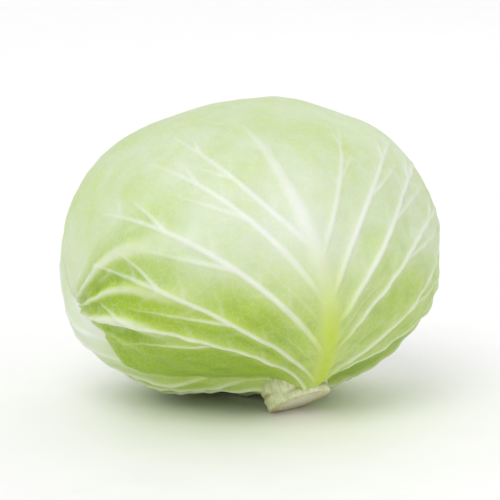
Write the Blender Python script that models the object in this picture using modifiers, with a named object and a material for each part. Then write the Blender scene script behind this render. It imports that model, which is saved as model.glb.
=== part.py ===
"""A flat-round cabbage head, as picked: a cut stalk, the leaves that wrap round it, and the bud at its tip.

Every leaf is a bowed shell on the stalk, like a cap of the head's own round surface. Leaves are listed
from the outside in, and each one sinks under the leaves outside it, so that they nest without touching.
The head rests tilted, on the shoulder of its lowest leaf and on the rim of its cut stalk.
Metres and degrees, +Z up, origin under the middle of the head, on the surface it rests on.
"""

import math
from collections import namedtuple

import bmesh
import bpy
import numpy as np
from mathutils import Matrix, Vector

# The head's round surface, about its centre. The stalk's axis is -Z before the head is laid down.
HEAD_WIDTH = 0.180
CROWN_HEIGHT = 0.071  # centre to crown
BASE_DEPTH = 0.063  # centre to where the stalk leaves the base
BODY_LEAN = 13.0  # of the body's axis from the stalk's, towards +X: heads grow a little lopsided
CROWN_FULLNESS = 2.15  # 2 is an ellipse, more is squarer
BASE_FULLNESS = 2.35
UNEVENNESS = 0.012  # share of the radius by which growth leaves the head out of round

# How the head lies on the surface.
TILT = 30.0  # of the stalk's axis, from upright
TILT_TOWARDS = -50.0  # compass direction in which the stalk points, from +X
FLAT_SPOT_PRESS = 0.0012  # how far the head's weight presses the lowest leaf flat
STALK_PRESS = 0.0008  # and how far it presses the rim of the cut stalk flat

# The stalk: a turned core, cut square across its axis below the leaves.
STALK_CUT_RADIUS = 0.0150
STALK_BASE_RADIUS = 0.0140
STALK_TIP_RADIUS = 0.0075
STALK_TIP_BELOW_CENTRE = 0.010
STALK_CUT_BEVEL = 0.0010
LEAF_TO_STALK_GAP = 0.0014

# The wrapper leaves, which are the ones that show.
WRAPPER_THICKNESS = 0.0012
WRAPPER_GAP = 0.0022
WRAPPER_RIB_THICKNESS = 0.0045  # of the midrib where it joins the stalk
RIB_STAND_OUT = 0.0018  # how far the midrib stands out of the leaf there
RIB_HALF_WIDTH = 0.0100
RIB_LENGTH = 0.150

# The inner leaves, packed inside the wrappers and smaller towards the bud.
INNER_LEAVES = 8
INNER_CLEARANCE = 0.0015  # between the wrappers and the first of them
INNER_THICKNESS = 0.0013
INNER_RIB_THICKNESS = 0.0018
INNERMOST_SHARE = 0.30  # size of the innermost leaf against the space inside the wrappers
BUD_RADIUS = 0.0100
BUD_HEIGHT = 0.24 * CROWN_HEIGHT

LEAF_TURN = 137.5  # from one leaf's place on the stalk to the next one's
MARGIN_WAVE = 2.0  # how far the leaf margins wave, in degrees
COVER_FADE = 15.0  # how far beyond a leaf's margin the leaves under it come up to the surface
WRAPPER_CELLS = 20
INNER_CELLS = 12

# A leaf's middle faces azimuth and elevation, and it reaches so far from there, in degrees,
# towards its base, its two sides and its tip.
Leaf = namedtuple("Leaf", "name azimuth elevation base side tip wave_phase")

WRAPPERS = [
    Leaf("wrapper_leaf_1", -75.0, 8.0, 93.0, 86.0, 95.0, 0.4),
    Leaf("wrapper_leaf_2", 62.0, 6.0, 91.0, 72.0, 74.0, 1.9),
    Leaf("wrapper_leaf_3", 198.0, 8.0, 92.0, 78.0, 88.0, 3.1),
    Leaf("wrapper_leaf_4", -22.0, 10.0, 92.0, 80.0, 80.0, 4.6),
    Leaf("wrapper_leaf_5", 117.0, 10.0, 92.0, 82.0, 92.0, 5.5),
    Leaf("wrapper_leaf_6", 252.0, 12.0, 92.0, 84.0, 90.0, 0.9),
    Leaf("wrapper_leaf_7", 30.0, 12.0, 92.0, 86.0, 98.0, 2.3),
    Leaf("wrapper_leaf_8", 168.0, 12.0, 92.0, 86.0, 96.0, 3.8),
]

LEAF_GREEN = (0.62, 0.76, 0.36)
INNER_CREAM = (0.83, 0.85, 0.56)
STALK_WHITE = (0.80, 0.79, 0.62)

HEAD_HALF_WIDTH = HEAD_WIDTH / 2


def inner_leaves():
    """The inner leaves, which follow the wrappers' turn and close over the crown a little further each."""
    last = WRAPPERS[-1]
    return [
        Leaf(
            f"inner_leaf_{n + 1:02d}",
            last.azimuth + LEAF_TURN * (n + 1),
            12.0,
            88.0,
            88.0,
            100.0,
            1.3 * n,
        )
        for n in range(INNER_LEAVES)
    ]


def unit(vectors):
    return vectors / np.linalg.norm(vectors, axis=-1, keepdims=True)


def ease(share):
    """0 to 1 with no kink at either end."""
    share = np.clip(share, 0.0, 1.0)
    return share * share * (3.0 - 2.0 * share)


def head_radius(directions):
    """Distance from the centre to the surface: an uneven superellipse turned about the body's axis."""
    x, y, z = directions[..., 0], directions[..., 1], directions[..., 2]
    lean = math.radians(BODY_LEAN)
    up = x * math.sin(lean) + z * math.cos(lean)
    across = np.hypot(x * math.cos(lean) - z * math.sin(lean), y) / HEAD_HALF_WIDTH
    along = np.abs(up) / np.where(up > 0, CROWN_HEIGHT, BASE_DEPTH)
    fullness = np.where(up > 0, CROWN_FULLNESS, BASE_FULLNESS)
    even = (across**fullness + along**fullness) ** (-1.0 / fullness)
    uneven = np.sin(2.3 * x + 1.1 * z + 0.6) * np.cos(2.9 * y - 0.4) + 0.6 * np.sin(4.1 * z - 1.9 * x + 1.2)
    return even * (1.0 + UNEVENNESS * uneven)


def leaf_axes(leaf):
    """Rows: outwards through the leaf's middle, across to its side, and up along its midrib."""
    azimuth, elevation = math.radians(leaf.azimuth), math.radians(leaf.elevation)
    outward = np.array(
        [
            math.cos(azimuth) * math.cos(elevation),
            math.sin(azimuth) * math.cos(elevation),
            math.sin(elevation),
        ]
    )
    across = np.array([-math.sin(azimuth), math.cos(azimuth), 0.0])
    return np.array([outward, across, np.cross(outward, across)])


def leaf_reach(leaf, bearing):
    """How far the leaf reaches from its middle, in degrees, along a bearing that is 90 at the tip."""
    towards_tip = np.clip(np.sin(bearing), 0.0, None) ** 2
    towards_base = np.clip(-np.sin(bearing), 0.0, None) ** 2
    wave = np.sin(5 * bearing + leaf.wave_phase) + 0.6 * np.sin(9 * bearing + 2.1 * leaf.wave_phase)
    reach = (
        leaf.side
        + (leaf.tip - leaf.side) * towards_tip
        + (leaf.base - leaf.side) * towards_base
    )
    return reach + MARGIN_WAVE * wave * (1.0 - towards_base)


def leaf_bearing_and_angle(leaf, directions):
    local = directions @ leaf_axes(leaf).T
    angle = np.degrees(np.arccos(np.clip(local[..., 0], -1.0, 1.0)))
    return np.arctan2(local[..., 2], local[..., 1]), angle


def cover(leaf, directions):
    """1 under the leaf, fading to 0 over COVER_FADE beyond its margin."""
    bearing, angle = leaf_bearing_and_angle(leaf, directions)
    return ease((leaf_reach(leaf, bearing) + COVER_FADE - angle) / COVER_FADE)


def rib_share(leaf, directions):
    """1 on the midrib at the stalk, fading across the rib and along it to the tip."""
    local = directions @ leaf_axes(leaf).T
    sideways = np.arcsin(np.clip(local[..., 1], -1.0, 1.0)) * HEAD_HALF_WIDTH
    from_base = np.degrees(np.arctan2(local[..., 2], local[..., 0])) + 90.0
    along = np.radians(np.clip(from_base, 0.0, None)) * HEAD_HALF_WIDTH / RIB_LENGTH
    return np.exp(-((sideways / RIB_HALF_WIDTH) ** 2)) * (1.0 - ease(along))


def leaf_thickness(leaf, directions, blade, rib):
    return blade + (rib - blade) * rib_share(leaf, directions)


def wrapper_depth(count, directions):
    """How far under the head's surface the first count wrappers push what is inside them."""
    depth = np.zeros(directions.shape[:-1])
    for leaf in WRAPPERS[:count]:
        thickness = leaf_thickness(leaf, directions, WRAPPER_THICKNESS, WRAPPER_RIB_THICKNESS)
        depth += cover(leaf, directions) * (thickness + WRAPPER_GAP)
    return depth


def wrapper_radius(index, directions):
    """Outside of a wrapper leaf: the head's surface, less the wrappers over it, plus its own midrib."""
    bare = np.ones(directions.shape[:-1])
    for outer in WRAPPERS[:index]:
        bare *= 1.0 - cover(outer, directions)
    stand_out = RIB_STAND_OUT * rib_share(WRAPPERS[index], directions) * bare
    return head_radius(directions) - wrapper_depth(index, directions) + stand_out


def inner_radius(number, directions):
    """Outside of an inner leaf: a share of the space that all the wrappers leave."""
    space = head_radius(directions) - wrapper_depth(len(WRAPPERS), directions) - INNER_CLEARANCE
    return space * (1.0 - (1.0 - INNERMOST_SHARE) * number / (INNER_LEAVES - 1))


def square_to_disc(u, v):
    """Maps the square from -1 to 1 onto the unit disc with no crease."""
    return u * np.sqrt(1.0 - v * v / 2.0), v * np.sqrt(1.0 - u * u / 2.0)


def stalk_radius(height):
    """Radius of the stalk at a height on its axis."""
    up = (height + BASE_DEPTH) / (BASE_DEPTH - STALK_TIP_BELOW_CENTRE)
    return STALK_BASE_RADIUS + (STALK_TIP_RADIUS - STALK_BASE_RADIUS) * np.clip(up, 0.0, 1.0)


def reach_to_stalk(leaf, bearing, radius_there):
    """Where a line from the leaf's middle meets the stalk, in degrees, or a half turn if it misses."""
    half_angle = math.asin(min(0.95, (STALK_BASE_RADIUS + LEAF_TO_STALK_GAP) / radius_there))
    to_stalk = math.radians(90.0 + leaf.elevation)
    a = math.cos(to_stalk)
    b = math.sin(to_stalk) * np.cos(bearing + math.pi / 2)
    size = np.hypot(a, b)
    ratio = math.cos(half_angle) / np.maximum(size, 1e-9)
    meets = (ratio <= 1.0) & (b > 0)
    near = np.arctan2(b, a) - np.arccos(np.clip(ratio, -1.0, 1.0))
    return np.where(meets, np.degrees(near), 180.0)


def leaf_directions(leaf, u, v, radius_at_stalk):
    """Directions from the head's centre to the leaf's points, for a square of parameters."""
    x, y = square_to_disc(u, v)
    bearing = np.arctan2(y, x)
    reach = np.minimum(leaf_reach(leaf, bearing), reach_to_stalk(leaf, bearing, radius_at_stalk))
    angle = np.radians(reach) * np.hypot(x, y)
    local = np.stack(
        [np.cos(angle), np.sin(angle) * np.cos(bearing), np.sin(angle) * np.sin(bearing)], axis=-1
    )
    return local @ leaf_axes(leaf)


def clear_of_stalk(points):
    """Moves points that would touch the stalk straight out from its axis."""
    out = np.hypot(points[:, 0], points[:, 1])
    least = stalk_radius(points[:, 2]) + LEAF_TO_STALK_GAP
    beside = points[:, 2] < -STALK_TIP_BELOW_CENTRE + LEAF_TO_STALK_GAP
    grow = np.where(beside & (out < least), least / np.maximum(out, 1e-9), 1.0)
    return points * np.stack([grow, grow, np.ones_like(grow)], axis=1)


def tilt_matrix():
    """Turns the head so that its stalk points down and towards TILT_TOWARDS."""
    towards = math.radians(TILT_TOWARDS)
    axis = Vector((math.sin(towards), -math.cos(towards), 0.0))
    return Matrix.Rotation(math.radians(TILT), 4, axis)


def base_leaf_radius(radius_function, leaf):
    """The leaf's distance from the centre beside the stalk, straight under its own middle."""
    azimuth = math.radians(leaf.azimuth)
    beside = math.atan2(STALK_BASE_RADIUS, BASE_DEPTH)
    down = np.array(
        [math.cos(azimuth) * math.sin(beside), math.sin(azimuth) * math.sin(beside), -math.cos(beside)]
    )
    return float(radius_function(down[None, :])[0])


def wrapper_grid(index, u, v):
    def radius(directions):
        return wrapper_radius(index, directions)

    leaf = WRAPPERS[index]
    directions = leaf_directions(leaf, u, v, base_leaf_radius(radius, leaf))
    return clear_of_stalk(directions * radius(directions)[:, None]), directions


def inner_grid(number, leaf, u, v):
    def radius(directions):
        return inner_radius(number, directions)

    directions = leaf_directions(leaf, u, v, base_leaf_radius(radius, leaf))
    return clear_of_stalk(directions * radius(directions)[:, None]), directions


def resting_height():
    """Height of the head's centre: its lowest wrapper is pressed on the surface by FLAT_SPOT_PRESS."""
    steps = np.linspace(-1.0, 1.0, 161)
    u, v = (grid.ravel() for grid in np.meshgrid(steps, steps))
    turn = np.array(tilt_matrix().to_3x3())
    lowest = min((wrapper_grid(index, u, v)[0] @ turn.T)[:, 2].min() for index in range(len(WRAPPERS)))
    return -lowest - FLAT_SPOT_PRESS


def stalk_cut_depth(centre_height):
    """How far below the centre the stalk is cut, so that the rim of the cut is pressed on the surface."""
    tilt = math.radians(TILT)
    rim = STALK_CUT_RADIUS - STALK_CUT_BEVEL
    return (centre_height + STALK_PRESS - rim * math.sin(tilt)) / math.cos(tilt)


def clear_scene():
    for obj in list(bpy.data.objects):
        bpy.data.objects.remove(obj)


def new_collection(name, hidden=False):
    collection = bpy.data.collections.new(name)
    collection.hide_render = hidden
    bpy.context.scene.collection.children.link(collection)
    return collection


def principled(name, colour, roughness):
    material = bpy.data.materials.new(name)
    material.use_nodes = True
    shader = material.node_tree.nodes["Principled BSDF"]
    shader.inputs["Base Color"].default_value = (*colour, 1.0)
    shader.inputs["Roughness"].default_value = roughness
    shader.inputs["Metallic"].default_value = 0.0
    return material


def press_on_surface(points, keep_above, placing):
    """Lifts points that lie under the surface, plus what is kept between them and it, up to there."""
    turn, move = np.array(placing.to_3x3()), np.array(placing.translation)
    standing = points @ turn.T + move
    standing[:, 2] = np.maximum(standing[:, 2], keep_above)
    return (standing - move) @ turn


def leaf_object(
    name, grid_function, cells, thickness_function, depth_function, placing, material, collection
):
    """A leaf: a square grid bowed onto the head, thickened inwards by a Solidify, most at the rib."""
    mesh = bpy.data.meshes.new(name)
    grid = bmesh.new()
    bmesh.ops.create_grid(grid, x_segments=cells, y_segments=cells, size=1.0)
    grid.to_mesh(mesh)
    grid.free()
    flat = np.array([vertex.co for vertex in mesh.vertices])
    points, directions = grid_function(flat[:, 0], flat[:, 1])
    points = press_on_surface(points, depth_function(directions), placing)
    mesh.vertices.foreach_set("co", points.astype(np.float32).ravel())
    mesh.update()
    mesh.shade_smooth()
    mesh.materials.append(material)
    leaf = bpy.data.objects.new(name, mesh)
    collection.objects.link(leaf)
    thickness = thickness_function(directions)
    group = leaf.vertex_groups.new(name="thickness")
    thickest = float(thickness.max())
    for vertex, share in enumerate(thickness / thickest):
        group.add([vertex], float(share), "REPLACE")
    shell = leaf.modifiers.new("shell", "SOLIDIFY")
    shell.thickness = thickest
    shell.offset = -1.0
    shell.vertex_group = group.name
    return leaf


def make_wrapper(index, placing, material, collection):
    leaf = WRAPPERS[index]
    return leaf_object(
        leaf.name,
        lambda u, v: wrapper_grid(index, u, v),
        WRAPPER_CELLS,
        lambda directions: leaf_thickness(leaf, directions, WRAPPER_THICKNESS, WRAPPER_RIB_THICKNESS),
        lambda directions: wrapper_depth(index, directions),
        placing,
        material,
        collection,
    )


def make_inner_leaf(number, leaf, placing, material, collection):
    return leaf_object(
        leaf.name,
        lambda u, v: inner_grid(number, leaf, u, v),
        INNER_CELLS,
        lambda directions: leaf_thickness(leaf, directions, INNER_THICKNESS, INNER_RIB_THICKNESS),
        lambda directions: wrapper_depth(len(WRAPPERS), directions),
        placing,
        material,
        collection,
    )


def turned(name, profile, material, collection):
    """A solid turned about the stalk's axis from a profile of (radius, height), from top to bottom."""
    mesh = bpy.data.meshes.new(name)
    points = [(radius, 0.0, height) for radius, height in profile]
    mesh.from_pydata(points, [(n, n + 1) for n in range(len(points) - 1)], [])
    mesh.materials.append(material)
    solid = bpy.data.objects.new(name, mesh)
    collection.objects.link(solid)
    screw = solid.modifiers.new("turn", "SCREW")
    screw.axis = "Z"
    screw.steps = screw.render_steps = 24
    screw.use_merge_vertices = True
    screw.merge_threshold = 0.0001
    screw.use_smooth_shade = True
    return solid


def make_stalk(cut_depth, cutter, material, collection):
    """The stalk, from its rounded tip down to the square cut, with the rim flat where it rests."""
    tip = -STALK_TIP_BELOW_CENTRE
    profile = [
        (0.0, tip),
        (STALK_TIP_RADIUS * 0.6, tip - STALK_TIP_RADIUS * 0.2),
        (STALK_TIP_RADIUS, tip - STALK_TIP_RADIUS * 0.9),
        (STALK_BASE_RADIUS, -BASE_DEPTH),
        (STALK_CUT_RADIUS, STALK_CUT_BEVEL - cut_depth),
        (STALK_CUT_RADIUS - STALK_CUT_BEVEL, -cut_depth),
        (0.0, -cut_depth),
    ]
    stalk = turned("cut_stalk", profile, material, collection)
    rest = stalk.modifiers.new("rest", "BOOLEAN")
    rest.operation = "DIFFERENCE"
    rest.object = cutter
    return stalk


def make_bud(material, collection):
    """The tight bud at the stalk's tip: an egg that stands on it with a gap."""
    bottom = -STALK_TIP_BELOW_CENTRE + LEAF_TO_STALK_GAP
    profile = [
        (BUD_RADIUS * math.sin(angle), bottom + BUD_HEIGHT * (0.5 + 0.5 * math.cos(angle)))
        for angle in np.linspace(0.0, math.pi, 9)
    ]
    return turned("terminal_bud", profile, material, collection)


def make_resting_surface(collection):
    """The cutter: everything under the surface that the head rests on."""
    size = 2 * HEAD_WIDTH
    bpy.ops.mesh.primitive_cube_add(size=size, location=(0.0, 0.0, -size / 2))
    cutter = bpy.context.object
    cutter.name = "under_the_surface"
    cutter.hide_render = True
    cutter.display_type = "WIRE"
    for old in list(cutter.users_collection):
        old.objects.unlink(cutter)
    collection.objects.link(cutter)
    return cutter


def lowest_and_highest(objects):
    """The box of these objects as the modifiers leave them."""
    bpy.context.view_layer.update()
    graph = bpy.context.evaluated_depsgraph_get()
    corners = []
    for obj in objects:
        evaluated = obj.evaluated_get(graph)
        mesh = evaluated.to_mesh()
        corners += [evaluated.matrix_world @ vertex.co for vertex in mesh.vertices]
        evaluated.to_mesh_clear()
    corners = np.array(corners)
    return corners.min(axis=0), corners.max(axis=0)


def main():
    clear_scene()
    head = new_collection("cabbage_head")
    cutters = new_collection("cutters", hidden=True)
    leaf_green = principled("wrapper_leaf", LEAF_GREEN, 0.45)
    cream = principled("inner_leaf", INNER_CREAM, 0.5)
    white = principled("stalk", STALK_WHITE, 0.6)

    centre_height = resting_height()
    placing = Matrix.Translation((0.0, 0.0, centre_height)) @ tilt_matrix()
    cutter = make_resting_surface(cutters)
    pieces = [make_wrapper(index, placing, leaf_green, head) for index in range(len(WRAPPERS))]
    for number, leaf in enumerate(inner_leaves()):
        pieces.append(make_inner_leaf(number, leaf, placing, cream, head))
    pieces.append(make_stalk(stalk_cut_depth(centre_height), cutter, white, head))
    pieces.append(make_bud(cream, head))

    centre = bpy.data.objects.new("head_centre", None)
    head.objects.link(centre)
    centre.matrix_world = placing
    for piece in pieces:
        piece.parent = centre

    low, high = lowest_and_highest(pieces)
    middle = (low + high) / 2
    centre.location.x -= middle[0]
    centre.location.y -= middle[1]


main()
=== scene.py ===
# %% [markdown]
# # A cabbage head
#
# This lesson finishes a flat-round cabbage head, as picked. Its solids are made, and they fix every size and
# place. What is left is what makes it a cabbage: the veins, the puckered blade between them, the thin wavy
# margins, the waxy green, and the cut stalk.
#
# Every leaf is one surface, worked out with numpy as a function of two parameters. The cells build it up step
# by step: the head's round surface, the way leaves lie over each other, the veins, the relief, and last the
# shell and its finish.

# %% Load the solids
import math
from collections import namedtuple

import bmesh
import bpy
import numpy as np
from mathutils import Matrix, Vector


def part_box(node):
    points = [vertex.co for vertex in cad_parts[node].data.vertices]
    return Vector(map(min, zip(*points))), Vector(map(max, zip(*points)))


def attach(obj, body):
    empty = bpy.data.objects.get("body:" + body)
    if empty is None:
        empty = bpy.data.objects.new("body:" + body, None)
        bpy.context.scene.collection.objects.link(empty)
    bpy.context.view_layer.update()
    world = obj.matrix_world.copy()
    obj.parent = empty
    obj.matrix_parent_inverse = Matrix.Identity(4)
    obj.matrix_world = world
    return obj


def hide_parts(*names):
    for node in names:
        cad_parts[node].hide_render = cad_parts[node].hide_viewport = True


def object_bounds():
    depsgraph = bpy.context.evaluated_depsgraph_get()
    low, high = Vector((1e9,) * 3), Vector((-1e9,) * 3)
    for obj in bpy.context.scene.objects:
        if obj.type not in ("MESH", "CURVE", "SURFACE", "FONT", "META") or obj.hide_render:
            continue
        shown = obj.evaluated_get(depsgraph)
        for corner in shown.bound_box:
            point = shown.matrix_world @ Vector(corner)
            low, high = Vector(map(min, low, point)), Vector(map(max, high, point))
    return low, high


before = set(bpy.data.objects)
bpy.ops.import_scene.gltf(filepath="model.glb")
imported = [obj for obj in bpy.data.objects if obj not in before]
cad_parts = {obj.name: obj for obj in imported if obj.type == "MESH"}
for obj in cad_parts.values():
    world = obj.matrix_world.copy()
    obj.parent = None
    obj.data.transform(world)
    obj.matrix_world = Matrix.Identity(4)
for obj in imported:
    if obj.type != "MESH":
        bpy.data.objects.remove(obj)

cad_low, cad_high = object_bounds()

# %% [markdown]
# ## The camera, the light and the floor
#
# The head lies on a pale floor in soft light, in front of an almost white background. The main light is a sun
# as wide as a softbox, high on the viewer's left: unlike a lamp, it lights the whole floor alike. A pale sky
# keeps the shadows light, and a small lamp behind lifts the back. The lens is long, so that perspective
# doesn't stretch the head.

# %% Camera
def add_object(name, data):
    """A new object for the data, in the scene."""
    made = bpy.data.objects.new(name, data)
    bpy.context.scene.collection.objects.link(made)
    return made


VIEW_ELEVATION = math.radians(10.0)
VIEW_DISTANCE = 1.30
LENS_MM = 200.0

view_centre = (cad_low + cad_high) / 2
towards_camera = Vector((0.0, -math.cos(VIEW_ELEVATION), math.sin(VIEW_ELEVATION)))
camera = add_object("camera", bpy.data.cameras.new("camera"))
camera.data.lens = LENS_MM
camera.data.clip_end = 50.0
camera.location = view_centre + towards_camera * VIEW_DISTANCE
camera.rotation_euler = (-towards_camera).to_track_quat("-Z", "Y").to_euler()
bpy.context.scene.camera = camera
bpy.context.scene.view_settings.view_transform = "Standard"
print("camera at", [round(value, 3) for value in camera.location])


# %% Lights and sky
def point_at_head(light, place):
    """Puts a light at place, turned to shine on the head."""
    light.location = place
    light.rotation_euler = (view_centre - Vector(place)).to_track_quat("-Z", "Y").to_euler()


wide_sun = bpy.data.lights.new("wide_sun", "SUN")
wide_sun.angle = math.radians(35.0)
wide_sun.energy = 1.05
wide_sun.color = (1.0, 0.998, 0.99)
point_at_head(add_object("wide_sun", wide_sun), (-0.5, -1.6, 1.9))

back_lamp = bpy.data.lights.new("back_lamp", "AREA")
back_lamp.size = 0.8
back_lamp.energy = 1.5
point_at_head(add_object("back_lamp", back_lamp), (0.8, 1.2, 0.9))

world = bpy.data.worlds.new("studio")
bpy.context.scene.world = world
world.use_nodes = True
sky = world.node_tree.nodes["Background"].inputs
sky["Color"].default_value = (1.0, 1.0, 1.0, 1.0)
sky["Strength"].default_value = 0.81

# %% [markdown]
# ## Small tools for finishes
#
# A finish is a tree of shader nodes. These helpers keep each tree short: one mixes two colours, one fits a
# number to another range, one sets the shader. Colours are written as people read them off a chart, from 0 to
# 255, and turned into the linear values that the shader works with.


# %% Node helpers
def chart(red, green, blue):
    """A colour from a 0 to 255 chart as linear red, green, blue and alpha."""
    share = np.array([red, green, blue]) / 255.0
    linear = np.where(share <= 0.04045, share / 12.92, ((share + 0.055) / 1.055) ** 2.4)
    return (*(float(value) for value in linear), 1.0)


class Finish:
    """A material with a Principled shader, and short ways to add nodes to it."""

    def __init__(self, name):
        self.material = bpy.data.materials.new(name)
        self.material.use_nodes = True
        self.tree = self.material.node_tree

    def feed(self, node, inputs):
        """Gives each input, by its name or number, another node's output or a plain value."""
        for socket, value in inputs.items():
            if isinstance(value, bpy.types.NodeSocket):
                self.tree.links.new(value, node.inputs[socket])
            else:
                node.inputs[socket].default_value = value

    def surface(self, inputs):
        """Feeds the Principled shader."""
        self.feed(self.tree.nodes["Principled BSDF"], inputs)

    def node(self, kind, inputs, **settings):
        """The outputs of a new node with these inputs and settings."""
        made = self.tree.nodes.new(kind)
        for key, value in settings.items():
            setattr(made, key, value)
        self.feed(made, inputs)
        return made.outputs

    def field(self, name, kind="Fac"):
        """A number stored on the mesh's points, or a place if kind is Vector."""
        return self.node("ShaderNodeAttribute", {}, attribute_name=name)[kind]

    def place(self):
        """Object coordinates, in metres from the origin of the head's frame."""
        return self.node("ShaderNodeTexCoord", {})["Object"]

    def noise(self, vector, scale, detail=3.0, roughness=0.5, kind="Fac"):
        inputs = {"Vector": vector, "Scale": scale, "Detail": detail, "Roughness": roughness}
        return self.node("ShaderNodeTexNoise", inputs)[kind]

    def cells(self, vector, scale, **settings):
        """A distance in a pattern of cells, scale of them to one unit of the vector."""
        return self.node("ShaderNodeTexVoronoi", {"Vector": vector, "Scale": scale}, **settings)["Distance"]

    def fit(self, value, low, high, new_low=0.0, new_high=1.0):
        """Fits value from low..high to new_low..new_high, held at both ends."""
        inputs = {"Value": value, "From Min": low, "From Max": high, "To Min": new_low, "To Max": new_high}
        return self.node("ShaderNodeMapRange", inputs)["Result"]

    def maths(self, operation, first, second):
        return self.node("ShaderNodeMath", {0: first, 1: second}, operation=operation)["Value"]

    def mix(self, share, first, second):
        """first where share is 0, second where it is 1."""
        inputs = {"Factor": share, "A": first, "B": second}
        return self.node("ShaderNodeMix", inputs, data_type="RGBA")["Result"]

    def bump(self, height, distance, strength=1.0, before=None):
        """A normal bent by the height, on top of the one before."""
        inputs = {"Height": height, "Distance": distance, "Strength": strength}
        if before is not None:
            inputs["Normal"] = before
        return self.node("ShaderNodeBump", inputs)["Normal"]


# %% Floor
FLOOR_HALF_WIDTH = 40.0
FLOOR_CORNERS = ((-1, -1), (1, -1), (1, 1), (-1, 1))

floor_finish = Finish("pale_floor")
floor_grain = floor_finish.noise(floor_finish.place(), 40.0, 2.0)
floor_finish.surface({
    "Base Color": floor_finish.mix(floor_grain, chart(249, 249, 249), chart(252, 252, 252)),
    "Roughness": floor_finish.fit(floor_grain, 0.3, 0.7, 0.5, 0.6),
})
floor_mesh = bpy.data.meshes.new("floor")
floor_points = [(x * FLOOR_HALF_WIDTH, y * FLOOR_HALF_WIDTH, 0.0) for x, y in FLOOR_CORNERS]
floor_mesh.from_pydata(floor_points, [], [(0, 1, 2, 3)])
floor_mesh.materials.append(floor_finish.material)
floor = add_object("floor", floor_mesh)
print("floor:", 2 * FLOOR_HALF_WIDTH, "m across")

# %% [markdown]
# ## The head's round surface
#
# A flat-round head is wider than it is tall. Round its axis it is a superellipse: an ellipse whose exponent
# is a little over 2, so that its shoulders are fuller. Heads grow a little lopsided, so that axis leans off
# the stalk's, and a slow wave leaves it slightly out of round. Every leaf follows this surface at its own
# depth.

# %% Head surface
HEAD_HALF_WIDTH = 0.090
CROWN_HEIGHT = 0.071
BASE_DEPTH = 0.063
BODY_LEAN = math.radians(13.0)
CROWN_FULLNESS = 2.15
BASE_FULLNESS = 2.35
UNEVENNESS = 0.012


def ease(share):
    """0 to 1 with no kink at either end: 3s^2 - 2s^3."""
    share = np.clip(share, 0.0, 1.0)
    return share * share * (3.0 - 2.0 * share)


def head_radius(directions):
    """Distance from the centre to the surface: (across^f + along^f)^(-1/f), times a slow uneven wave."""
    x, y, z = directions[..., 0], directions[..., 1], directions[..., 2]
    up = x * math.sin(BODY_LEAN) + z * math.cos(BODY_LEAN)
    across = np.hypot(x * math.cos(BODY_LEAN) - z * math.sin(BODY_LEAN), y) / HEAD_HALF_WIDTH
    along = np.abs(up) / np.where(up > 0, CROWN_HEIGHT, BASE_DEPTH)
    fullness = np.where(up > 0, CROWN_FULLNESS, BASE_FULLNESS)
    even = (across**fullness + along**fullness) ** (-1.0 / fullness)
    uneven = np.sin(2.3 * x + 1.1 * z + 0.6) * np.cos(2.9 * y - 0.4)
    uneven += 0.6 * np.sin(4.1 * z - 1.9 * x + 1.2)
    return even * (1.0 + UNEVENNESS * uneven)


crown, side = head_radius(np.array([[0.0, 0.0, 1.0], [1.0, 0.0, 0.0]]))
print(f"centre to crown {crown * 1000:.1f} mm, centre to side {side * 1000:.1f} mm")

# %% [markdown]
# ## The leaves and how they lie
#
# Leaves grow from the stalk one after another, each turned about 137.5 degrees from the last. A wrapper leaf
# is a round blade bowed over the head. It is described from its own middle: how far it reaches to its base,
# to its sides and to its tip, in degrees of the head. Where an outer leaf covers it, it lies deeper by that
# leaf's thickness and a small gap, and beyond the outer leaf's margin it comes back up to the surface.

# %% Leaf table
Leaf = namedtuple("Leaf", "node azimuth elevation base side tip wave_phase")

LEAVES = [
    Leaf("wrapper_leaf_1", -75.0, 8.0, 93.0, 86.0, 95.0, 0.4),
    Leaf("wrapper_leaf_2", 62.0, 6.0, 91.0, 72.0, 74.0, 1.9),
    Leaf("wrapper_leaf_3", 198.0, 8.0, 92.0, 78.0, 88.0, 3.1),
    Leaf("wrapper_leaf_4", -22.0, 10.0, 92.0, 80.0, 80.0, 4.6),
    Leaf("wrapper_leaf_5", 117.0, 10.0, 92.0, 82.0, 92.0, 5.5),
    Leaf("wrapper_leaf_6", 252.0, 12.0, 92.0, 84.0, 90.0, 0.9),
    Leaf("wrapper_leaf_7", 30.0, 12.0, 92.0, 86.0, 98.0, 2.3),
    Leaf("wrapper_leaf_8", 168.0, 12.0, 92.0, 86.0, 96.0, 3.8),
]
MARGIN_WAVE = 2.0
COVER_FADE = 9.0
BLADE_THICKNESS = 0.0012
RIB_THICKNESS = 0.0045
LEAF_GAP = 0.0022
RIB_STAND_OUT = 0.0018
RIB_HALF_WIDTH = 0.0100
RIB_LENGTH = 0.150


def leaf_axes(leaf):
    """Rows: outwards through the leaf's middle, across to its right side, and up along its midrib."""
    azimuth, elevation = math.radians(leaf.azimuth), math.radians(leaf.elevation)
    level = math.cos(elevation)
    outward = np.array([math.cos(azimuth) * level, math.sin(azimuth) * level, math.sin(elevation)])
    across = np.array([-math.sin(azimuth), math.cos(azimuth), 0.0])
    return np.array([outward, across, np.cross(outward, across)])


def leaf_reach(leaf, bearing):
    """How far the leaf reaches on a bearing, in degrees: side, tip and base reach blended, and a wave."""
    towards_tip = np.clip(np.sin(bearing), 0.0, None) ** 2
    towards_base = np.clip(-np.sin(bearing), 0.0, None) ** 2
    wave = np.sin(5 * bearing + leaf.wave_phase) + 0.6 * np.sin(9 * bearing + 2.1 * leaf.wave_phase)
    blend = leaf.side + (leaf.tip - leaf.side) * towards_tip + (leaf.base - leaf.side) * towards_base
    return blend + MARGIN_WAVE * wave * (1.0 - towards_base)


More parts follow.
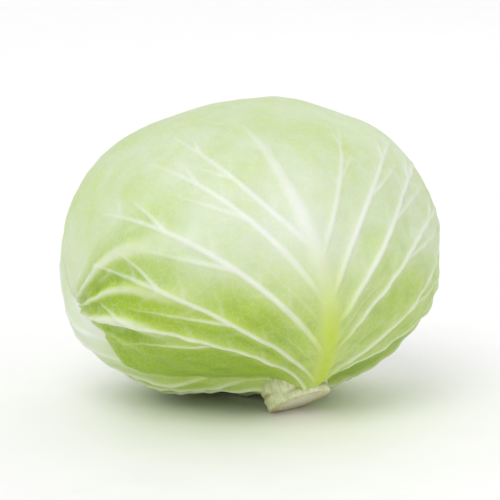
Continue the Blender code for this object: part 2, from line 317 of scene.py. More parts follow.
def leaf_places(leaf, directions):
    """Places on the flattened leaf: x to its right and y to its tip, in degrees from its middle."""
    local = directions @ leaf_axes(leaf).T
    angle = np.degrees(np.arccos(np.clip(local[..., 0], -1.0, 1.0)))
    bearing = np.arctan2(local[..., 2], local[..., 1])
    return angle * np.cos(bearing), angle * np.sin(bearing)


def inside_margin(leaf, directions):
    """How far inside the leaf's margin directions fall, in degrees, and less than 0 beyond it."""
    x, y = leaf_places(leaf, directions)
    return leaf_reach(leaf, np.arctan2(y, x)) - np.hypot(x, y)


def cover(leaf, directions):
    """1 under the leaf, easing to 0 at COVER_FADE beyond its margin."""
    return ease((inside_margin(leaf, directions) + COVER_FADE) / COVER_FADE)


def rib_share(leaf, directions):
    """1 on the midrib at the stalk, fading across the rib as exp(-(d/w)^2) and along it to the tip."""
    local = directions @ leaf_axes(leaf).T
    sideways = np.arcsin(np.clip(local[..., 1], -1.0, 1.0)) * HEAD_HALF_WIDTH
    from_base = np.degrees(np.arctan2(local[..., 2], local[..., 0])) + 90.0
    along = np.radians(np.clip(from_base, 0.0, None)) * HEAD_HALF_WIDTH / RIB_LENGTH
    return np.exp(-((sideways / RIB_HALF_WIDTH) ** 2)) * (1.0 - ease(along))


def bareness(index, directions):
    """1 where no outer leaf covers this one, 0 where one does."""
    bare = np.ones(directions.shape[:-1])
    for outer in LEAVES[:index]:
        bare *= 1.0 - cover(outer, directions)
    return bare


def depth_under(count, directions):
    """How deep the first count leaves push what is in them: each one's thickness and gap where it covers."""
    depth = np.zeros(directions.shape[:-1])
    for leaf in LEAVES[:count]:
        thickness = BLADE_THICKNESS + (RIB_THICKNESS - BLADE_THICKNESS) * rib_share(leaf, directions)
        depth += cover(leaf, directions) * (thickness + LEAF_GAP)
    return depth


for leaf in LEAVES:
    print(leaf.node, "faces", leaf.azimuth, "degrees, reaches", leaf.base, leaf.side, leaf.tip)

# %% [markdown]
# ## Spreading a grid over a leaf
#
# A square grid is easy to number, and a leaf is round. The elliptical map squeezes the square onto a disc
# without a crease: x = u sqrt(1 - v^2/2), y = v sqrt(1 - u^2/2). The disc's bearing and distance then become
# a direction from the head's centre. Towards its base the leaf stops at the stalk, so its edge there is a
# hollow that clasps it.

# %% Grid to directions
STALK_BASE_RADIUS = 0.0140
STALK_TIP_RADIUS = 0.0075
STALK_TIP_BELOW_CENTRE = 0.010
CLASP_GAP = 0.0006
BASE_CROWDING = 0.2


def square_to_disc(u, v):
    """x = u sqrt(1 - v^2/2) and y = v sqrt(1 - u^2/2)."""
    return u * np.sqrt(1.0 - v * v / 2.0), v * np.sqrt(1.0 - u * u / 2.0)


def stalk_radius(height):
    """The stalk's radius at a height on the head's axis: a straight taper from base to tip."""
    up = (height + BASE_DEPTH) / (BASE_DEPTH - STALK_TIP_BELOW_CENTRE)
    return STALK_BASE_RADIUS + (STALK_TIP_RADIUS - STALK_BASE_RADIUS) * np.clip(up, 0.0, 1.0)


def reach_to_stalk(leaf, bearing):
    """Where a great circle from the leaf's middle meets the stalk: the near root of a cos + b sin = c."""
    half_angle = math.atan2(STALK_BASE_RADIUS + CLASP_GAP, BASE_DEPTH)
    to_stalk = math.radians(90.0 + leaf.elevation)
    a = math.cos(to_stalk)
    b = math.sin(to_stalk) * np.cos(bearing + math.pi / 2)
    ratio = math.cos(half_angle) / np.maximum(np.hypot(a, b), 1e-9)
    meets = (ratio <= 1.0) & (b > 0)
    near = np.arctan2(b, a) - np.arccos(np.clip(ratio, -1.0, 1.0))
    return np.where(meets, np.degrees(near), 180.0)


def leaf_directions(leaf, u, v):
    """Directions from the head's centre to the leaf's points, for arrays of the square's two parameters."""
    x, y = square_to_disc(u, v)
    bearing = np.arctan2(y, x)
    reach = np.minimum(leaf_reach(leaf, bearing), reach_to_stalk(leaf, bearing))
    angle = np.radians(reach) * np.hypot(x, y)
    level, across, up = np.cos(angle), np.sin(angle) * np.cos(bearing), np.sin(angle) * np.sin(bearing)
    return np.stack([level, across, up], axis=-1) @ leaf_axes(leaf)


def square_grid(cells):
    """Both parameters of a square grid, from -1 to 1 as flat arrays, v closer together at the base."""
    steps = np.linspace(-1.0, 1.0, cells + 1)
    u, v = np.meshgrid(steps, steps - BASE_CROWDING * (1.0 - steps**2), indexing="ij")
    return u.ravel(), v.ravel()


u, v = square_grid(4)
print("a grid of 4 cells gives", len(leaf_directions(LEAVES[0], u, v)), "directions")

# %% [markdown]
# ## Setting the head down
#
# The head lies tilted, with its cut stalk down and to the viewer's right. Its lowest leaf is pressed flat by
# a millimetre where it touches. The tilt is a turn about a level axis, and the height and place follow from
# the leaves themselves and from the middle of the solids' box.

# %% Tilt and place
TILT = math.radians(30.0)
TILT_TOWARDS = math.radians(-50.0)
FLAT_SPOT_PRESS = 0.0012

tilt_axis = Vector((math.sin(TILT_TOWARDS), -math.cos(TILT_TOWARDS), 0.0))
turn = np.array(Matrix.Rotation(TILT, 3, tilt_axis))


def plain_surface(index, directions):
    """A leaf without veins or waves: the head's surface less the leaves over it, plus its midrib."""
    stand_out = RIB_STAND_OUT * rib_share(LEAVES[index], directions) * bareness(index, directions)
    return head_radius(directions) - depth_under(index, directions) + stand_out


u, v = square_grid(120)
plain_points = []
for index, leaf in enumerate(LEAVES):
    directions = leaf_directions(leaf, u, v)
    plain_points.append((directions * plain_surface(index, directions)[:, None]) @ turn.T)
plain_points = np.concatenate(plain_points)
leaf_boxes = [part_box(leaf.node) for leaf in LEAVES]
leaves_low = np.min([np.array(low) for low, high in leaf_boxes], axis=0)
leaves_high = np.max([np.array(high) for low, high in leaf_boxes], axis=0)
head_centre = (leaves_low + leaves_high) / 2 - (plain_points.min(axis=0) + plain_points.max(axis=0)) / 2
head_centre[2] = -plain_points[:, 2].min() - FLAT_SPOT_PRESS
print("centre of the head in mm:", (head_centre * 1000).round(1))


def set_down(points):
    """From the head's own frame to where it lies."""
    return points @ turn.T + head_centre


# %% [markdown]
# ## Veins
#
# A thick midrib runs up from the stalk. Side veins leave it in a fan, bow outwards and thin towards the
# margin, and each one forks. Finer twigs leave them left and right. Each vein is a path on the flattened
# leaf: it starts at a point, heads somewhere, and turns evenly as it goes. Paths stay crisp, and the relief
# and the colour can share them.

# %% Vein paths
Vein = namedtuple("Vein", "path wide narrow strong weak")


def vein_path(start, heading, turning, length, steps=26):
    """A path whose heading, in degrees from the tip's direction, changes evenly by turning."""
    share = np.linspace(0.0, 1.0, steps)
    angle = np.radians(heading + turning * share)
    pace = length / (steps - 1)
    x = start[0] + pace * np.concatenate([[0.0], np.cumsum(np.sin(angle[:-1]))])
    y = start[1] + pace * np.concatenate([[0.0], np.cumsum(np.cos(angle[:-1]))])
    return np.stack([x, y], axis=1)


def midrib_place(y):
    """The midrib's x on the flattened leaf: a shallow bow, right of the middle at the base, then left."""
    return 8.0 - 0.075 * (y + 60.0) - 0.0007 * (y + 60.0) ** 2


# Side veins, base to tip: where each leaves the midrib, its heading, how it turns, its length and strength.
LEFT_VEINS = [
    (-99.0, -66.0, -8.0, 96.0, 0.7),
    (-97.0, -37.0, -20.0, 128.0, 1.0),
    (-88.0, -35.0, -9.0, 114.0, 1.0),
    (-80.0, -31.0, -10.0, 58.0, 0.42),
    (-70.0, -27.0, -20.0, 104.0, 1.0),
    (-58.0, -27.0, -14.0, 52.0, 0.42),
    (-46.0, -26.0, -11.0, 76.0, 0.95),
    (-26.0, -35.0, 15.0, 60.0, 0.8),
    (-31.0, -2.0, -13.0, 48.0, 0.7),
]
RIGHT_VEINS = [
    (-99.0, 68.0, 0.0, 84.0, 0.75),
    (-94.0, 52.0, 2.0, 92.0, 0.9),
    (-87.0, 44.0, -4.0, 94.0, 1.0),
    (-80.0, 38.0, 14.0, 56.0, 0.42),
    (-71.0, 27.0, 42.0, 92.0, 1.0),
    (-62.0, 31.0, 28.0, 50.0, 0.42),
    (-55.0, 33.0, 20.0, 84.0, 1.0),
    (-43.0, 28.0, 24.0, 70.0, 0.9),
    (-29.0, 33.0, -11.0, 50.0, 0.7),
]
MIDRIB_WIDE, MIDRIB_NARROW, MIDRIB_STRONG, MIDRIB_WEAK = 6.2, 0.8, 1.2, 0.15
SIDE_VEIN_WIDE, SIDE_VEIN_NARROW, SIDE_VEIN_FADE = 1.2, 0.85, 0.36
FORKS = ((0.55, 20.0), (0.77, -24.0))
FORK_WIDE, FORK_NARROW, FORK_STRONG, FORK_WEAK = 0.9, 0.8, 0.6, 0.1
TWIG_EVERY, TWIG_LENGTH, TWIG_WIDTH, TWIG_TURN = 8.0, 9.0, 0.75, 54.0
TWIG_STRONG, TWIG_WEAK = 0.42, 0.05


def path_place(path, share):
    """The point at a share of the path, and the heading there in degrees."""
    at = min(int(share * (len(path) - 1)), len(path) - 2)
    step = path[at + 1] - path[at]
    return path[at], math.degrees(math.atan2(step[0], step[1]))


def leaf_veins(seed):
    """The midrib, the side veins with their forks, and the twigs between, a little different by seed."""
    chance = np.random.default_rng(seed)
    wobble = 0.0 if seed == 0 else 1.0
    y = np.linspace(-100.0, 34.0, 40)
    midrib = np.stack([midrib_place(y), y], axis=1)
    main = [Vein(midrib, MIDRIB_WIDE, MIDRIB_NARROW, MIDRIB_STRONG, MIDRIB_WEAK)]
    twigs = []
    for start_y, heading, turning, length, strength in LEFT_VEINS + RIGHT_VEINS:
        start_y += wobble * chance.uniform(-3.0, 3.0)
        heading += wobble * chance.uniform(-5.0, 5.0)
        path = vein_path((midrib_place(start_y), start_y), heading, turning, length)
        wide = SIDE_VEIN_WIDE * (0.7 + 0.3 * strength)
        main.append(Vein(path, wide, SIDE_VEIN_NARROW, strength, SIDE_VEIN_FADE * strength))
        side = math.copysign(1.0, heading)
        for fork_share, fork_turn in FORKS:
            place, direction = path_place(path, fork_share)
            fork_length = length * (1.0 - fork_share) * 0.9
            fork = vein_path(place, direction + side * fork_turn, -side * fork_turn * 0.5, fork_length, 16)
            main.append(Vein(fork, FORK_WIDE, FORK_NARROW, FORK_STRONG * strength, FORK_WEAK * strength))
        for number in range(int(length / TWIG_EVERY) - 1):
            place, direction = path_place(path, (number + 1.2) * TWIG_EVERY / length)
            turned = (TWIG_TURN + chance.uniform(-10.0, 10.0)) * (1 if number % 2 else -1)
            reach = TWIG_LENGTH * chance.uniform(0.7, 1.25)
            twig = vein_path(place, direction + turned, -0.5 * turned, reach, 10)
            twigs.append(Vein(twig, TWIG_WIDTH, TWIG_WIDTH, TWIG_STRONG * strength, TWIG_WEAK))
    return main, twigs


first_main, first_twigs = leaf_veins(0)
print("veins on the outermost leaf:", len(first_main), "and", len(first_twigs), "twigs")


# %% [markdown]
# ## From paths to fields
#
# The surface needs one number per point: how strongly it lies on a vein. For each vein that is
# strength x exp(-(distance / width)^2), and where veins meet the larger one wins. Only points near a vein are
# measured, so hundreds of veins cost little. The same distances, with a wider width, say where the blade
# swells beside a vein and where it sinks between two.


# %% Vein fields
def nearest_on_path(places, path):
    """Distance from each place to the path, and the share of the path where the nearest point lies."""
    starts, steps = path[:-1], np.diff(path, axis=0)
    away = places[:, None, :] - starts[None, :, :]
    along = np.clip((away * steps).sum(axis=2) / (steps**2).sum(axis=1), 0.0, 1.0)
    distance = np.hypot(*np.moveaxis(away - along[..., None] * steps, 2, 0))
    nearest = distance.argmin(axis=1)
    rows = np.arange(len(places))
    return distance[rows, nearest], (nearest + along[rows, nearest]) / len(steps)


def vein_field(places, veins, spread=1.0):
    """The largest strength x exp(-(distance / (spread x width))^2) over the veins, at each place."""
    field = np.zeros(len(places))
    for vein in veins:
        border = 2.6 * spread * vein.wide
        low, high = vein.path.min(axis=0) - border, vein.path.max(axis=0) + border
        near = np.flatnonzero(((places > low) & (places < high)).all(axis=1))
        if len(near) == 0:
            continue
        distance, share = nearest_on_path(places[near], vein.path)
        width = spread * (vein.wide + (vein.narrow - vein.wide) * share)
        strength = vein.strong + (vein.weak - vein.strong) * share**1.5
        field[near] = np.maximum(field[near], strength * np.exp(-((distance / width) ** 2)))
    return field


sample = np.array([[midrib_place(-60.0), -60.0], [40.0, 40.0]])
print("on the midrib and off it:", vein_field(sample, first_main).round(2))

# %% [markdown]
# ## Relief
#
# Near the base the blade is strongly modelled: ribs stand out, and the blade sinks between them. Towards the
# crown it flattens out. Slow buckles and finer puckers come from sums of sine waves in fixed directions. At
# its left the outermost leaf's margin is tucked under, and folds spread from there like a fan.

# %% Relief
RIDGE_HEIGHT = 0.0017
TWIG_HEIGHT = 0.00028
SWELL_HEIGHT = 0.0016
SWELL_SPREAD = 3.6
BUCKLE_HEIGHT = 0.0009
PUCKER_HEIGHT = 0.00054
FOLD_HEIGHT = 0.0021
FOLD_EVERY = math.radians(17.5)
FOLD_SHIFT = 0.07
FOLD_WANDER, FOLD_WANDER_EVERY = 0.05, 7.0
TUCK_X, TUCK_Y = -90.0, -2.0
GATHERED_AT, GATHERED_LONG = 29.0, 21.0
GATHERED_TOWARDS, GATHERED_ROUND = -0.40, 0.50
LEAST_MODELLED, MOST_MODELLED = 0.25, 1.2
MODELLED_BELOW, MODELLED_OVER = 6.0, 70.0


def sine_sum(points, wavelength, seed, waves=14):
    """A smooth field between about -1 and 1: sine waves of nearly one length in scattered directions."""
    chance = np.random.default_rng(seed)
    directions = chance.normal(size=(waves, 3))
    directions /= np.linalg.norm(directions, axis=1, keepdims=True)
    numbers = 2 * math.pi / (wavelength * chance.uniform(0.75, 1.5, waves))
    phases = chance.uniform(0.0, 2 * math.pi, waves)
    total = np.sin(points @ (directions * numbers[:, None]).T + phases).sum(axis=1)
    return total * math.sqrt(2.0 / waves) / 1.6


def modelled_zone(y):
    """How strongly the blade is modelled, from 1 near its base to a quarter at its crown."""
    return LEAST_MODELLED + (1.0 - LEAST_MODELLED) * ease((MODELLED_BELOW - y) / MODELLED_OVER)


def from_tuck(x, y):
    """Distance from the tucked margin in degrees of the head, and the angle there in radians."""
    return np.hypot(x - TUCK_X, y - TUCK_Y), np.arctan2(y - TUCK_Y, x - TUCK_X)


def gathered_zone(x, y):
    """1 in the middle of the folds, falling off as exp(-d^2) along them and exp(-d^4) on both sides."""
    far, angle = from_tuck(x, y)
    along, across = (far - GATHERED_AT) / GATHERED_LONG, (angle - GATHERED_TOWARDS) / GATHERED_ROUND
    return np.exp(-(along**2) - across**4)


def fold_wave(x, y):
    """A wave round the tucked margin, uneven from fold to fold and sharpened on its crests."""
    far, angle = from_tuck(x, y)
    wander = FOLD_WANDER * np.sin(far / FOLD_WANDER_EVERY)
    phase = 2 * math.pi * (angle + FOLD_SHIFT + wander) / FOLD_EVERY
    return np.cos(phase) + 0.3 * np.cos(2 * phase) + 0.35 * np.sin(0.5 * phase + 1.0)


print("modelled zone at base, middle, tip:", modelled_zone(np.array([-80.0, 0.0, 80.0])).round(2))

# %% [markdown]
# ## Margins
#
# A wrapper leaf ends in a thin margin. Mostly it hugs the leaf under it, and here and there it lifts and
# curls. Both are a change of radius over the last few degrees: the hug sinks it into the gap to the next
# leaf, and the lift raises it in slow uneven pulses round the leaf.

# %% Margin shape
HUG_DEPTH = 0.0025
HUG_OVER = 11.0
LIFT_HEIGHT = 0.0026
LIFT_OVER = 11.0
CRINKLE_HEIGHT = 0.0008
CRINKLE_OVER = 7.0
CRINKLES_ROUND = (31.0, 53.0)


def lift_pulses(bearing, phase):
    """0 where the margin hugs, 1 where it lifts: slow waves round the leaf, with the low part cut off."""
    slow = np.sin(3.0 * bearing + 1.7 * phase + 1.6) + 0.7 * np.sin(7.0 * bearing + 3.1 * phase)
    return ease(slow - 0.35)


def margin_change(leaf, inside, bearing):
    """Change of radius near the margin: -hug + lift x pulses + a fine crinkle, each easing in."""
    towards_base = np.clip(-np.sin(bearing), 0.0, None) ** 2
    free = 1.0 - towards_base
    pulses = lift_pulses(bearing, leaf.wave_phase) * free
    hug = HUG_DEPTH * ease(1.0 - inside / HUG_OVER) * (1.0 - pulses)
    lift = LIFT_HEIGHT * ease(1.0 - inside / LIFT_OVER) ** 1.5 * pulses
    few, many = CRINKLES_ROUND
    crinkle = np.sin(few * bearing + leaf.wave_phase) + 0.6 * np.sin(many * bearing - leaf.wave_phase)
    crinkled = ease(1.0 - inside / CRINKLE_OVER) * free * (0.35 + 0.65 * pulses)
    return lift - hug + CRINKLE_HEIGHT * crinkle * crinkled


bearing = np.radians(np.arange(0, 360, 45))
print("lift round the outermost leaf:", lift_pulses(bearing, LEAVES[0].wave_phase).round(2))

# %% [markdown]
# ## One leaf, worked out
#
# All the parts come together here. For each point of the grid the blade's surface is the plain one, plus its
# relief where no other leaf covers it, plus the margin's change. The outside adds the veins to that, and the
# inside takes off the thickness, which thins towards the margin. At the stalk the thick rib bends down and
# joins it. Whatever would pass through the surface that the head lies on is pressed flat on it.

# %% Leaf points
MARGIN_THICKNESS = 0.0006
THIN_OVER = 12.0
JOIN_DROP = 0.0055
JOIN_REACH = 0.0050
JOIN_BLADE_SHARE = 0.3
JOIN_LESS_EACH = 0.11
PRESSED_CLEAR = 0.00005
PRESSED_THICKNESS = 0.9


def leaf_fields(index, directions):
    """Every field of a leaf that its relief and its colour need, by name."""
    leaf = LEAVES[index]
    x, y = leaf_places(leaf, directions)
    places = np.stack([x, y], axis=1)
    main, twigs = leaf_veins(index)
    bearing = np.arctan2(y, x)
    surface = directions * head_radius(directions)[:, None]
    zone = modelled_zone(y)
    gathered = gathered_zone(x, y) if index == 0 else np.zeros(len(x))
    return {
        "x": x,
        "y": y,
        "bearing": bearing,
        "inside": leaf_reach(leaf, bearing) - np.hypot(x, y),
        "bare": bareness(index, directions),
        "vein": vein_field(places, main),
        "twig": vein_field(places, twigs),
        "swell": vein_field(places, main, SWELL_SPREAD),
        "zone": zone,
        "gathered": gathered,
        "strong": np.clip(zone + gathered, 0.0, MOST_MODELLED),
        "buckle": sine_sum(surface, 0.042, 11 + index),
        "pucker": sine_sum(surface, 0.0095, 31 + index),
    }


def vein_relief(fields):
    """Ridges and twigs in metres. They stand out of the leaf's outside only."""
    ridges = RIDGE_HEIGHT * fields["vein"] * (0.35 + 0.65 * fields["strong"])
    twigs = TWIG_HEIGHT * fields["twig"] * (0.3 + 0.7 * fields["strong"])
    return (ridges + twigs) * ease(fields["bare"]) ** 2


def blade_relief(fields):
    """Relief of both faces in metres: (swell - sunk blade) + buckles + puckers + folds, where bare."""
    relief = SWELL_HEIGHT * (fields["swell"] - 0.6) * fields["strong"] * ease(fields["inside"] / 8.0)
    relief += BUCKLE_HEIGHT * fields["buckle"]
    relief += PUCKER_HEIGHT * fields["pucker"] * fields["strong"]
    relief += FOLD_HEIGHT * (0.7 + 0.8 * fold_wave(fields["x"], fields["y"])) * fields["gathered"]
    return relief * ease(fields["bare"]) ** 2


def join_stalk(points, bend):
    """Bends points beside the stalk down along it, by bend x exp(-distance / reach), and out of it."""
    out = np.hypot(points[:, 0], points[:, 1])
    least = stalk_radius(points[:, 2]) + CLASP_GAP
    low = points[:, 2] < -STALK_TIP_BELOW_CENTRE
    grow = np.where(low & (out < least), least / np.maximum(out, 1e-9), 1.0)
    points = points * np.stack([grow, grow, np.ones_like(grow)], axis=1)
    beside = np.exp(-np.clip(out - least, 0.0, None) / JOIN_REACH) * low
    return points - np.stack([np.zeros_like(out), np.zeros_like(out), beside * bend], axis=1)


def leaf_points(index, cells):
    """The outside and inside points of a leaf where it lies, and its fields, on a square grid of cells."""
    leaf = LEAVES[index]
    u, v = square_grid(cells)
    directions = leaf_directions(leaf, u, v)
    fields = leaf_fields(index, directions)
    radius = plain_surface(index, directions) + blade_relief(fields)
    radius += margin_change(leaf, fields["inside"], fields["bearing"]) * fields["bare"] ** 2
    rib = rib_share(leaf, directions)
    blade = BLADE_THICKNESS + (RIB_THICKNESS - BLADE_THICKNESS) * rib
    thickness = MARGIN_THICKNESS + (blade - MARGIN_THICKNESS) * ease(fields["inside"] / THIN_OVER)
    bend = JOIN_DROP * (JOIN_BLADE_SHARE + (1.0 - JOIN_BLADE_SHARE) * rib) * (1.0 - JOIN_LESS_EACH * index)
    outside = set_down(join_stalk(directions * (radius + vein_relief(fields))[:, None], bend))
    inside = set_down(join_stalk(directions * (radius - thickness)[:, None], bend))
    over_it = depth_under(index, directions) + PRESSED_CLEAR
    outside[:, 2] = np.maximum(outside[:, 2], over_it)
    inside[:, 2] = np.maximum(inside[:, 2], over_it + thickness * PRESSED_THICKNESS)
    return outside, inside, fields


outside, inside, fields = leaf_points(0, 40)
print("outermost leaf spans, in mm:", (np.ptp(outside, axis=0) * 1000).round(1))

# %% [markdown]
# ## From points to a shell
#
# Two grids, one for each face of the leaf, are closed by a strip of triangles round their edge. The inside
# has no veins, so its grid has half as many cells each way, and the points saved make the outside finer. The
# fields that the finish needs go along as attributes, one number per point, so the colour of a vein lies
# exactly on its ridge.


# %% Shell mesh
def grid_quads(cells):
    """Quads of a square grid, each turned so that its front faces out of the head."""
    corner = np.arange((cells + 1) ** 2).reshape(cells + 1, cells + 1)
    quads = np.stack([corner[:-1, :-1], corner[1:, :-1], corner[1:, 1:], corner[:-1, 1:]], axis=-1)
    return quads.reshape(-1, 4)


def grid_rim(cells):
    """The numbers of the grid's edge points, once round, anticlockwise as seen from its front."""
    corner = np.arange((cells + 1) ** 2).reshape(cells + 1, cells + 1)
    return np.concatenate([corner[:-1, 0], corner[-1, :-1], corner[:0:-1, -1], corner[0, :0:-1]])


def rim_strip(fine_rim, coarse_rim):
    """Triangles between two rims, the first of which has two edges for each edge of the second."""
    half_way = np.roll(np.repeat(coarse_rim, 2), -1)
    fans = np.stack([half_way, np.roll(fine_rim, -1), fine_rim], axis=1)
    wedges = np.stack([coarse_rim, np.roll(coarse_rim, -1), fine_rim[1::2]], axis=1)
    return np.concatenate([fans, wedges])


def mesh_from_arrays(name, points, faces):
    """A smooth mesh from an array of points and a list of faces, each a list of corner numbers."""
    mesh = bpy.data.meshes.new(name)
    mesh.from_pydata(points.tolist(), [], faces)
    mesh.validate()
    mesh.shade_smooth()
    return mesh


def store_field(mesh, name, values):
    """Stores one number per point under a name that a finish can read."""
    mesh.attributes.new(name, "FLOAT", "POINT").data.foreach_set("value", values.astype(np.float32))


def store_places(mesh, name, places):
    """Stores one place per point, for a pattern that follows the surface."""
    stored = mesh.attributes.new(name, "FLOAT_VECTOR", "POINT")
    stored.data.foreach_set("vector", places.astype(np.float32).ravel())


def shell_mesh(name, outside, inside, cells):
    """A closed shell: the outside grid, the inside grid of half the cells turned over, and the strip."""
    back = grid_quads(cells // 2)[:, ::-1] + len(outside)
    strip = rim_strip(grid_rim(cells), grid_rim(cells // 2) + len(outside))
    faces = grid_quads(cells).tolist() + back.tolist() + strip.tolist()
    return mesh_from_arrays(name, np.concatenate([outside, inside]), faces)


def signed_volume(mesh):
    """The volume inside a closed mesh, which is negative if its faces point in."""
    copy = bmesh.new()
    copy.from_mesh(mesh)
    volume = copy.calc_volume(signed=True)
    copy.free()
    return volume


print("a shell of 4 cells has", len(grid_rim(4)), "rim points")

# %% [markdown]
# ## The finish of a wrapper leaf
#
# The blade is a pale, waxy green. It is palest over the crown, and turns a full yellow-green towards the
# base. Shade is painted on as a dark green where the blade sinks between the ribs, in the dips of the puckers
# and in the troughs of the folds, and light is painted on the crests of the folds in the pale colour of the
# ribs. The ribs are almost white, except near the stalk, where they take the green of the blade. A fine net
# of the smallest veins is drawn by a Voronoi pattern on the flattened leaf. The wax gives a soft broad
# shine, broken by a little noise, and some light sinks into the leaf.

# %% Wrapper leaf finish
PALE_WAX = chart(206, 220, 187)
CROWN_MOTTLE = chart(197, 216, 164)
PATCH_GREEN = chart(190, 212, 108)
FULL_GREEN = chart(172, 199, 32)
# Painted shade: the dark green laid where the blade sinks, between the ribs, in pucker dips and in fold
# troughs.
HOLLOW_SHADE_GREEN = chart(134, 169, 2)
RIB_WHITE = chart(230, 234, 226)
RIB_GREEN = chart(194, 214, 70)
MARGIN_GREEN = chart(186, 206, 122)
NET_EVERY_MM = 4.2
NET_WANDER_MM = 4.0
NET_SHARE, PATCH_SHARE, TWIG_SHARE, MARGIN_SHARE, SPECK_SHARE = 0.13, 0.40, 0.5, 0.5, 0.25


def leaf_finish(name):
    """Colour from the fields: blade, mottling, painted shade where the blade sinks, net, twigs, ribs with
    painted light on the fold crests, and margin, one over another.
    """
    finish = Finish(name)
    place = finish.place()
    cloud = finish.noise(place, 26.0, 3.0, 0.55)
    speck = finish.noise(place, 240.0, 4.0, 0.6)
    patch = finish.noise(place, 70.0, 5.0, 0.7)

    blade = finish.mix(finish.fit(cloud, 0.35, 0.68), PALE_WAX, CROWN_MOTTLE)
    blade = finish.mix(finish.fit(patch, 0.46, 0.66, 0.0, PATCH_SHARE), blade, PATCH_GREEN)
    patchy = finish.maths("ADD", finish.field("lush"), finish.fit(cloud, 0.3, 0.7, -0.12, 0.12))
    blade = finish.mix(finish.fit(patchy, 0.0, 1.0), blade, FULL_GREEN)
    # Painted shade: dark green where the blade sinks between the ribs, in the dips of the puckers and in the
    # troughs of the folds.
    blade = finish.mix(finish.field("hollow_shade"), blade, HOLLOW_SHADE_GREEN)

    leaf_place = finish.field("leaf_place", "Vector")
    wander = finish.noise(leaf_place, 0.4, 2.0, 0.5, "Color")
    wandered = {0: wander, 1: (NET_WANDER_MM, NET_WANDER_MM, 0.0), 2: leaf_place}
    net_place = finish.node("ShaderNodeVectorMath", wandered, operation="MULTIPLY_ADD")["Vector"]
    flat_net = {"feature": "DISTANCE_TO_EDGE", "voronoi_dimensions": "2D"}
    to_edge = finish.cells(net_place, 1.0 / NET_EVERY_MM, **flat_net)
    net_line = finish.fit(to_edge, 0.0, 0.12, 1.0, 0.0)
    blade = finish.mix(finish.maths("MULTIPLY", net_line, NET_SHARE), blade, RIB_WHITE)

    rib = finish.mix(finish.field("high"), RIB_GREEN, RIB_WHITE)
    # The leaf's own pale tint round the veins and over the trunk, plus painted light on the crests of the
    # folds.
    blade = finish.mix(finish.field("haze_and_fold_light"), blade, rib)
    blade = finish.mix(finish.maths("MULTIPLY", finish.field("twig"), TWIG_SHARE), blade, rib)
    blade = finish.mix(finish.fit(finish.field("vein"), 0.22, 0.72), blade, rib)
    blade = finish.mix(finish.maths("MULTIPLY", finish.field("edge"), MARGIN_SHARE), blade, MARGIN_GREEN)
    blade = finish.mix(finish.fit(speck, 0.62, 0.8, 0.0, SPECK_SHARE), blade, PALE_WAX)
    ridges = finish.bump(net_line, 0.00010, 0.5)
    finish.surface({
        "Base Color": blade,
        "Roughness": finish.fit(speck, 0.3, 0.7, 0.40, 0.54),
        "Normal": finish.bump(speck, 0.00012, 0.6, before=ridges),
        "Subsurface Weight": 0.15,
        "Subsurface Radius": (0.8, 1.0, 0.35),
        "Subsurface Scale": 0.0025,
        "Coat Weight": 0.06,
        "Coat Roughness": 0.45,
    })
    return finish.material


wrapper_finish = leaf_finish("waxy_leaf")
print("finish:", wrapper_finish.name, "with", len(wrapper_finish.node_tree.nodes), "nodes")

# %% [markdown]
# ## Making the wrapper leaves
#
# The three outermost leaves cover nearly all of the head, so they get a fine grid. The five under them show
# only in slits, and a coarser one is enough. The colour fields are worked out from the same places as the
# relief.

# %% Wrapper leaves
FINE_CELLS = 276
COARSE_CELLS = 120
SHOWING_LEAVES = 3
DEGREE_MM = math.radians(1.0) * HEAD_HALF_WIDTH * 1000
LEAVES_APART = 50.0

# All in degrees of the head, on the flattened leaf.
LEFT_FROM, LEFT_OVER = 4.0, 14.0
LUSH_BELOW, LUSH_OVER = -18.0, 30.0
# Where the painted shade between the ribs begins towards the base, and how far it takes to grow.
HOLLOW_SHADE_BELOW, HOLLOW_SHADE_OVER = -28.0, 26.0
FAN_X, FAN_Y, FAN_WIDE, FAN_LONG = 4.0, -23.0, 17.0, 19.0
WHITE_ABOVE, WHITE_OVER = -56.0, 44.0
TRUNK_WIDE = 9.0
EDGE_WIDE = 2.5


def held(values):
    """The values, held between 0 and 1."""
    return np.clip(values, 0.0, 1.0)


def colour_fields(fields):
    """lush, painted shade where the blade sinks, edge, high, and a pale tint round the veins with painted
    light on the fold crests, each from 0 to 1, from the leaf's fields.
    """
    x, y, gathered = fields["x"], fields["y"], fields["gathered"]
    wave = fold_wave(x, y)
    left = 0.5 - 0.5 * np.tanh((x - LEFT_FROM) / LEFT_OVER)
    low = y + 0.25 * np.minimum(x, 0.0)
    lush = ease((LUSH_BELOW - low) / LUSH_OVER) * (0.55 + 0.42 * left) + 0.7 * gathered
    # Painted shade: darker between the ribs near the base, more on the left, in the dips of the puckers and
    # in the troughs of the folds.
    between = held(1.0 - 1.25 * fields["swell"])
    hollow_shade = 0.7 * between * ease((HOLLOW_SHADE_BELOW - low) / HOLLOW_SHADE_OVER) * (0.25 + 0.75 * left)
    hollow_shade += 0.16 * held(-fields["pucker"]) * fields["zone"]
    hollow_shade += 0.8 * gathered * held(0.3 - 0.8 * wave)
    edge = ease(1.0 - fields["inside"] / EDGE_WIDE) * (1.0 - ease(-np.sin(fields["bearing"]) * 1.4))
    fan = np.exp(-(((x - FAN_X) / FAN_WIDE) ** 2) - ((y - FAN_Y) / FAN_LONG) ** 2)
    # Pale tint round the veins and over the fan at the trunk, and painted light on the crests of the folds.
    haze_and_fold_light = 0.26 * fields["swell"] ** 2 + 0.47 * fan + 0.7 * gathered * held(wave - 0.2)
    trunk = np.exp(-(((x - midrib_place(y)) / TRUNK_WIDE) ** 2))
    high = 1.0 - (1.0 - ease((y - WHITE_ABOVE) / WHITE_OVER)) * (0.3 + 0.7 * trunk)
    return {"lush": held(lush), "hollow_shade": held(hollow_shade), "edge": edge, "high": high, "haze_and_fold_light": held(haze_and_fold_light)}


